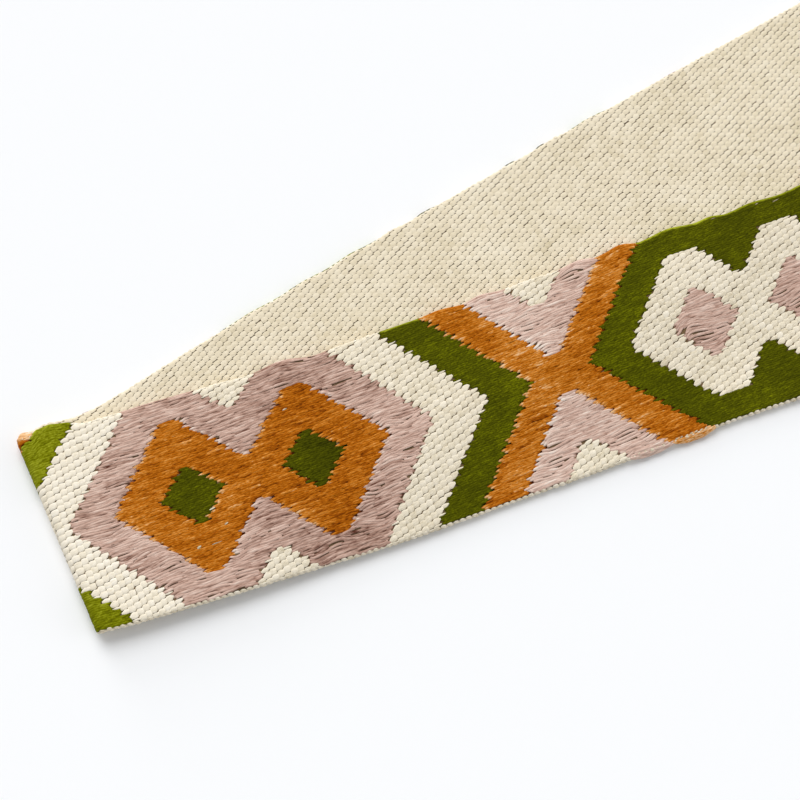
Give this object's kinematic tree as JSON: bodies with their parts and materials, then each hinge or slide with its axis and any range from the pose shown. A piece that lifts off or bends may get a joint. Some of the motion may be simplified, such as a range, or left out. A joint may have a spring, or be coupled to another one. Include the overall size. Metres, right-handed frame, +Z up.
{
  "type": "folded jacquard webbing",
  "caption": "Cut length of figured jacquard webbing, folded back on itself once and lying flat, patterned face up on the upper layer and plain back up on the lower one.",
  "frame": {"origin": "bottom centre of the bounding box, on the surface that the lower layer lies on", "axes": "+X along the lower layer, away from the fold; +Y towards the lower layer's open side; +Z up"},
  "size_m": [0.2682, 0.0996, 0.0048],
  "materials": {
    "undyed_yarn": "matte woven cotton, undyed cream, a little darker and yellower on the back",
    "olive_yarn": "softly lustrous olive green floats",
    "orange_yarn": "softly lustrous burnt orange floats",
    "pink_yarn": "softly lustrous dusty pink floats"
  },
  "bodies": {
    "root": {"webbing": "undyed_yarn"}
  },
  "joints": []
}
